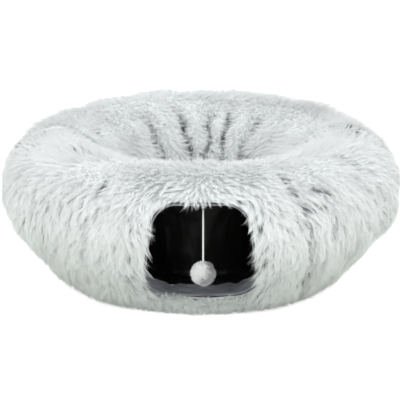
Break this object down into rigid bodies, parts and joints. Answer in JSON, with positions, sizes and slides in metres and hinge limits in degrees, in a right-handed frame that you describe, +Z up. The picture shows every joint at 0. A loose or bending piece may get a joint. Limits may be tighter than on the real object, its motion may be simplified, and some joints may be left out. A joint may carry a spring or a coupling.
{
  "type": "donut cat tunnel",
  "caption": "Round plush cat tunnel with a funnel nest in the middle, an arched entrance with a hanging pompom, and two half rings zipped together.",
  "frame": {"origin": "middle of the flat base, under the centre of the well", "axes": "+Z up, the entrance faces -Y, the zips stand at +X and -X"},
  "size_m": [0.7036, 0.7063, 0.2622],
  "materials": {
    "plush": "long-pile plush, white tips over dark grey roots",
    "base_cloth": "non-slip cloth",
    "wadding": "polyester wadding",
    "lining": "black crackling lining",
    "spring_wire": "spring steel wire",
    "facing": "grey woven facing",
    "zip_tape": "woven zip tape",
    "zip_coil": "nylon zip coil",
    "zip_metal": "dark lacquered metal",
    "ribbon": "grey ribbon",
    "cord": "white braided cord",
    "pompom": "white yarn pompom",
    "mat": "plush over wadding"
  },
  "bodies": {
    "centre_mat": {"centre_mat": "mat"},
    "front_half": {"entrance_facing": "facing", "entrance_hoop": "spring_wire", "front_base_pad": "base_cloth", "front_left_end_hoop": "spring_wire", "front_left_zip_coil": "zip_coil", "front_left_zip_stop": "zip_metal", "front_left_zip_tape": "zip_tape", "front_lining": "lining", "front_middle_hoop_1": "spring_wire", "front_middle_hoop_2": "spring_wire", "front_outer_plush": "plush", "front_right_end_hoop": "spring_wire", "front_right_zip_coil": "zip_coil", "front_right_zip_stop": "zip_metal", "front_right_zip_tape": "zip_tape", "front_wadding": "wadding", "front_well_plush": "plush", "left_zip_box": "zip_metal", "right_zip_box": "zip_metal", "toy_tab": "ribbon"},
    "rear_half": {"left_zip_pin": "zip_metal", "rear_base_pad": "base_cloth", "rear_left_end_hoop": "spring_wire", "rear_left_zip_coil": "zip_coil", "rear_left_zip_stop": "zip_metal", "rear_left_zip_tape": "zip_tape", "rear_lining": "lining", "rear_middle_hoop_1": "spring_wire", "rear_middle_hoop_2": "spring_wire", "rear_middle_hoop_3": "spring_wire", "rear_outer_plush": "plush", "rear_right_end_hoop": "spring_wire", "rear_right_zip_coil": "zip_coil", "rear_right_zip_stop": "zip_metal", "rear_right_zip_tape": "zip_tape", "rear_wadding": "wadding", "rear_well_plush": "plush", "right_zip_pin": "zip_metal"},
    "left_pull": {"left_zip_pull": "zip_metal"},
    "left_slider": {"left_zip_slider": "zip_metal"},
    "toy": {"pompom": "pompom", "toy_cord": "cord"},
    "right_pull": {"right_zip_pull": "zip_metal"},
    "right_slider": {"right_zip_slider": "zip_metal"},
    "toy_swing": {"toy_knot": "cord"}
  },
  "joints": [
    {"name": "rear_half_pull_off", "type": "slide", "parent": "front_half", "child": "rear_half", "axis": [0, 1, 0], "range_m": [0, 0.3]},
    {"name": "right_slider_run", "type": "hinge", "parent": "front_half", "child": "right_slider", "pos_m": [0.254, 0, 0.165], "axis": [0, 1, 0], "range_deg": [-54, 88]},
    {"name": "left_slider_run", "type": "hinge", "parent": "front_half", "child": "left_slider", "pos_m": [-0.254, 0, 0.165], "axis": [0, -1, 0], "range_deg": [-54, 88]},
    {"name": "right_pull_flip", "type": "hinge", "parent": "right_slider", "child": "right_pull", "pos_m": [0.30503, 0, 0.24358], "axis": [0, -1, 0], "range_deg": [0, 150]},
    {"name": "left_pull_flip", "type": "hinge", "parent": "left_slider", "child": "left_pull", "pos_m": [-0.30503, 0, 0.24358], "axis": [0, 1, 0], "range_deg": [0, 150]},
    {"name": "toy_swing_fore_aft", "type": "hinge", "parent": "front_half", "child": "toy_swing", "pos_m": [0.004, -0.30792, 0.21085], "axis": [1, 0, 0], "range_deg": [-55, 50]},
    {"name": "toy_swing_sideways", "type": "hinge", "parent": "toy_swing", "child": "toy", "pos_m": [0.004, -0.30792, 0.21085], "axis": [0, 1, 0], "range_deg": [-26, 26]},
    {"name": "mat_lift_out", "type": "slide", "parent": "front_half", "child": "centre_mat", "axis": [0, 0, 1], "range_m": [0, 0.26]}
  ]
}
